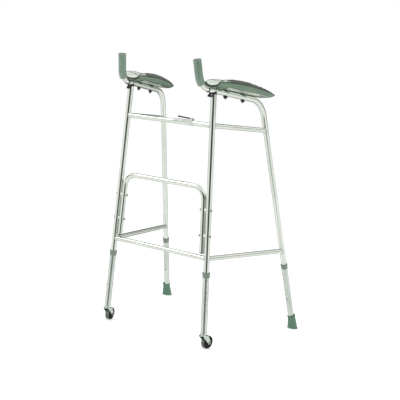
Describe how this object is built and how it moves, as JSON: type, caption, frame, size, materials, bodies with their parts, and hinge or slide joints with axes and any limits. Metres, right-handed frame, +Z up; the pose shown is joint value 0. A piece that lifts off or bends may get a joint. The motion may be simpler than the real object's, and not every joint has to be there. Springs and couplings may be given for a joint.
{
  "type": "forearm walking frame",
  "caption": "Free-standing tubular walking frame with padded forearm gutters, upright hand grips, sliding legs, trailing front castors and flared rear feet.",
  "frame": {"origin": "on the floor, under the middle of the overall box", "axes": "-Y is the way the frame travels, +X is the side of the right-hand side frame as seen with +Y (the open back) behind the user, +Z is up"},
  "size_m": [0.7234, 0.7916, 1.0886],
  "materials": {
    "anodised_tube": "polished, anodised",
    "gutter_plastic": "moulded, soft sheen",
    "pad_vinyl": "padded vinyl, fine grain",
    "grip_vinyl": "soft vinyl, matt",
    "foot_rubber": "matt",
    "collar_plastic": "moulded, satin",
    "tyre": "matt",
    "dark_plastic": "moulded, satin",
    "pale_plastic": "moulded, satin",
    "plated_steel": "bright plated, pressed",
    "steel_fixings": "plated"
  },
  "bodies": {
    "frame": {"side_tube_right": "anodised_tube", "side_tube_left": "anodised_tube", "front_leg_right": "anodised_tube", "front_leg_left": "anodised_tube", "front_upper_bar": "anodised_tube", "front_lower_bar": "anodised_tube", "upper_side_bars": "anodised_tube", "lower_side_bars": "anodised_tube", "u_brace": "anodised_tube", "u_brace_plugs": "dark_plastic", "u_brace_fixings": "steel_fixings", "u_brace_spacers": "anodised_tube", "leg_saddles": "dark_plastic", "crossbar_clip": "pale_plastic", "gutter_saddles": "gutter_plastic", "gutter_bolts": "steel_fixings", "snap_springs": "steel_fixings"},
    "clip_lever": {"clip_lever": "dark_plastic"},
    "handle_right": {"handle_tube_right": "anodised_tube", "grip_right": "grip_vinyl"},
    "thumb_screw_right": {"thumb_screw_right": "dark_plastic"},
    "gutter_right": {"gutter_shell_right": "gutter_plastic", "gutter_pad_right": "pad_vinyl", "gutter_bracket_right": "anodised_tube"},
    "wing_nut_front_right": {"wing_nut_front_right": "dark_plastic"},
    "wing_nut_rear_right": {"wing_nut_rear_right": "dark_plastic"},
    "leg_front_right": {"sleeve_front_right": "anodised_tube", "collar_front_right": "collar_plastic", "castor_socket_right": "pale_plastic"},
    "leg_rear_right": {"sleeve_rear_right": "anodised_tube", "collar_rear_right": "collar_plastic", "rubber_foot_right": "foot_rubber"},
    "castor_right": {"castor_fork_right": "plated_steel", "castor_axle_right": "steel_fixings"},
    "wheel_right": {"castor_hub_right": "dark_plastic", "castor_tyre_right": "tyre"},
    "snap_button_front_right_out": {"snap_button_front_right_out": "steel_fixings"},
    "snap_button_front_right_in": {"snap_button_front_right_in": "steel_fixings"},
    "snap_button_rear_right": {"snap_button_rear_right": "steel_fixings"},
    "handle_left": {"handle_tube_left": "anodised_tube", "grip_left": "grip_vinyl"},
    "thumb_screw_left": {"thumb_screw_left": "dark_plastic"},
    "gutter_left": {"gutter_shell_left": "gutter_plastic", "gutter_pad_left": "pad_vinyl", "gutter_bracket_left": "anodised_tube"},
    "wing_nut_front_left": {"wing_nut_front_left": "dark_plastic"},
    "wing_nut_rear_left": {"wing_nut_rear_left": "dark_plastic"},
    "leg_front_left": {"sleeve_front_left": "anodised_tube", "collar_front_left": "collar_plastic", "castor_socket_left": "pale_plastic"},
    "leg_rear_left": {"sleeve_rear_left": "anodised_tube", "collar_rear_left": "collar_plastic", "rubber_foot_left": "foot_rubber"},
    "castor_left": {"castor_fork_left": "plated_steel", "castor_axle_left": "steel_fixings"},
    "wheel_left": {"castor_hub_left": "dark_plastic", "castor_tyre_left": "tyre"},
    "snap_button_front_left_out": {"snap_button_front_left_out": "steel_fixings"},
    "snap_button_front_left_in": {"snap_button_front_left_in": "steel_fixings"},
    "snap_button_rear_left": {"snap_button_rear_left": "steel_fixings"}
  },
  "joints": [
    {"name": "clip_lever_turn", "type": "hinge", "parent": "frame", "child": "clip_lever", "pos_m": [0.105, -0.27074, 0.86991], "axis": [0, 1, 0], "range_deg": [0, 90]},
    {"name": "handle_slide_right", "type": "slide", "parent": "frame", "child": "handle_right", "axis": [-0.1669, -0.9846, 0.0523], "range_m": [0, 0.06]},
    {"name": "thumb_screw_turn_right", "type": "hinge", "parent": "frame", "child": "thumb_screw_right", "pos_m": [0.18649, -0.29775, 0.98325], "axis": [0.0309, -0.0582, -0.9978], "continuous": true},
    {"name": "gutter_slide_right", "type": "slide", "parent": "frame", "child": "gutter_right", "axis": [0.1666, 0.9851, -0.0436], "range_m": [-0.015, 0.015]},
    {"name": "wing_nut_turn_front_right", "type": "hinge", "parent": "frame", "child": "wing_nut_front_right", "pos_m": [0.20189, -0.21076, 0.96252], "axis": [-0.0323, 0.0496, 0.9982], "continuous": true},
    {"name": "wing_nut_turn_rear_right", "type": "hinge", "parent": "frame", "child": "wing_nut_rear_right", "pos_m": [0.21941, -0.10737, 0.95703], "axis": [-0.0323, 0.0496, 0.9982], "continuous": true},
    {"name": "leg_slide_front_right", "type": "slide", "parent": "frame", "child": "leg_front_right", "axis": [0.0501, 0.057, -0.9971], "range_m": [0, 0.12]},
    {"name": "leg_slide_rear_right", "type": "slide", "parent": "frame", "child": "leg_rear_right", "axis": [0.0961, 0.3473, -0.9328], "range_m": [0, 0.12]},
    {"name": "castor_swivel_right", "type": "hinge", "parent": "leg_front_right", "child": "castor_right", "pos_m": [0.23511, -0.22655, 0.07], "axis": [0, 0, 1], "continuous": true},
    {"name": "wheel_spin_right", "type": "hinge", "parent": "castor_right", "child": "wheel_right", "pos_m": [0.23957, -0.19992, 0.0255], "axis": [0.9863, -0.165, 0], "continuous": true},
    {"name": "button_press_front_right_out", "type": "slide", "parent": "frame", "child": "snap_button_front_right_out", "axis": [-0.7143, 0.6999, 0.0041], "range_m": [0, 0.0044], "stiffness_N_per_m": 2500, "springref_m": -0.001, "deforming": ["snap_button_front_right_out", "snap_springs"]},
    {"name": "button_press_front_right_in", "type": "slide", "parent": "frame", "child": "snap_button_front_right_in", "axis": [0.7143, -0.6999, -0.0041], "range_m": [0, 0.0044], "stiffness_N_per_m": 2500, "springref_m": -0.001, "deforming": ["snap_button_front_right_in"]},
    {"name": "button_press_rear_right", "type": "slide", "parent": "frame", "child": "snap_button_rear_right", "axis": [0.1399, 0.9232, 0.3581], "range_m": [0, 0.0044], "stiffness_N_per_m": 2500, "springref_m": -0.001, "deforming": ["snap_button_rear_right"]},
    {"name": "handle_slide_left", "type": "slide", "parent": "frame", "child": "handle_left", "axis": [0.1669, -0.9846, 0.0523], "range_m": [0, 0.06]},
    {"name": "thumb_screw_turn_left", "type": "hinge", "parent": "frame", "child": "thumb_screw_left", "pos_m": [-0.18649, -0.29775, 0.98325], "axis": [-0.0309, -0.0582, -0.9978], "continuous": true},
    {"name": "gutter_slide_left", "type": "slide", "parent": "frame", "child": "gutter_left", "axis": [-0.1666, 0.9851, -0.0436], "range_m": [-0.015, 0.015]},
    {"name": "wing_nut_turn_front_left", "type": "hinge", "parent": "frame", "child": "wing_nut_front_left", "pos_m": [-0.20189, -0.21076, 0.96252], "axis": [0.0323, 0.0496, 0.9982], "continuous": true},
    {"name": "wing_nut_turn_rear_left", "type": "hinge", "parent": "frame", "child": "wing_nut_rear_left", "pos_m": [-0.21941, -0.10737, 0.95703], "axis": [0.0323, 0.0496, 0.9982], "continuous": true},
    {"name": "leg_slide_front_left", "type": "slide", "parent": "frame", "child": "leg_front_left", "axis": [-0.0501, 0.057, -0.9971], "range_m": [0, 0.12]},
    {"name": "leg_slide_rear_left", "type": "slide", "parent": "frame", "child": "leg_rear_left", "axis": [-0.0961, 0.3473, -0.9328], "range_m": [0, 0.12]},
    {"name": "castor_swivel_left", "type": "hinge", "parent": "leg_front_left", "child": "castor_left", "pos_m": [-0.23511, -0.22655, 0.07], "axis": [0, 0, 1], "continuous": true},
    {"name": "wheel_spin_left", "type": "hinge", "parent": "castor_left", "child": "wheel_left", "pos_m": [-0.23957, -0.19992, 0.0255], "axis": [0.9863, 0.165, 0], "continuous": true},
    {"name": "button_press_front_left_out", "type": "slide", "parent": "frame", "child": "snap_button_front_left_out", "axis": [0.7143, 0.6999, 0.0041], "range_m": [0, 0.0044], "stiffness_N_per_m": 2500, "springref_m": -0.001, "deforming": ["snap_button_front_left_out", "snap_springs"]},
    {"name": "button_press_front_left_in", "type": "slide", "parent": "frame", "child": "snap_button_front_left_in", "axis": [-0.7143, -0.6999, -0.0041], "range_m": [0, 0.0044], "stiffness_N_per_m": 2500, "springref_m": -0.001, "deforming": ["snap_button_front_left_in"]},
    {"name": "button_press_rear_left", "type": "slide", "parent": "frame", "child": "snap_button_rear_left", "axis": [-0.1399, 0.9232, 0.3581], "range_m": [0, 0.0044], "stiffness_N_per_m": 2500, "springref_m": -0.001, "deforming": ["snap_button_rear_left"]}
  ],
  "couplings": [
    {"joint": "button_press_front_right_in", "follows": "button_press_front_right_out", "ratio": 1},
    {"joint": "button_press_front_left_in", "follows": "button_press_front_left_out", "ratio": 1}
  ]
}
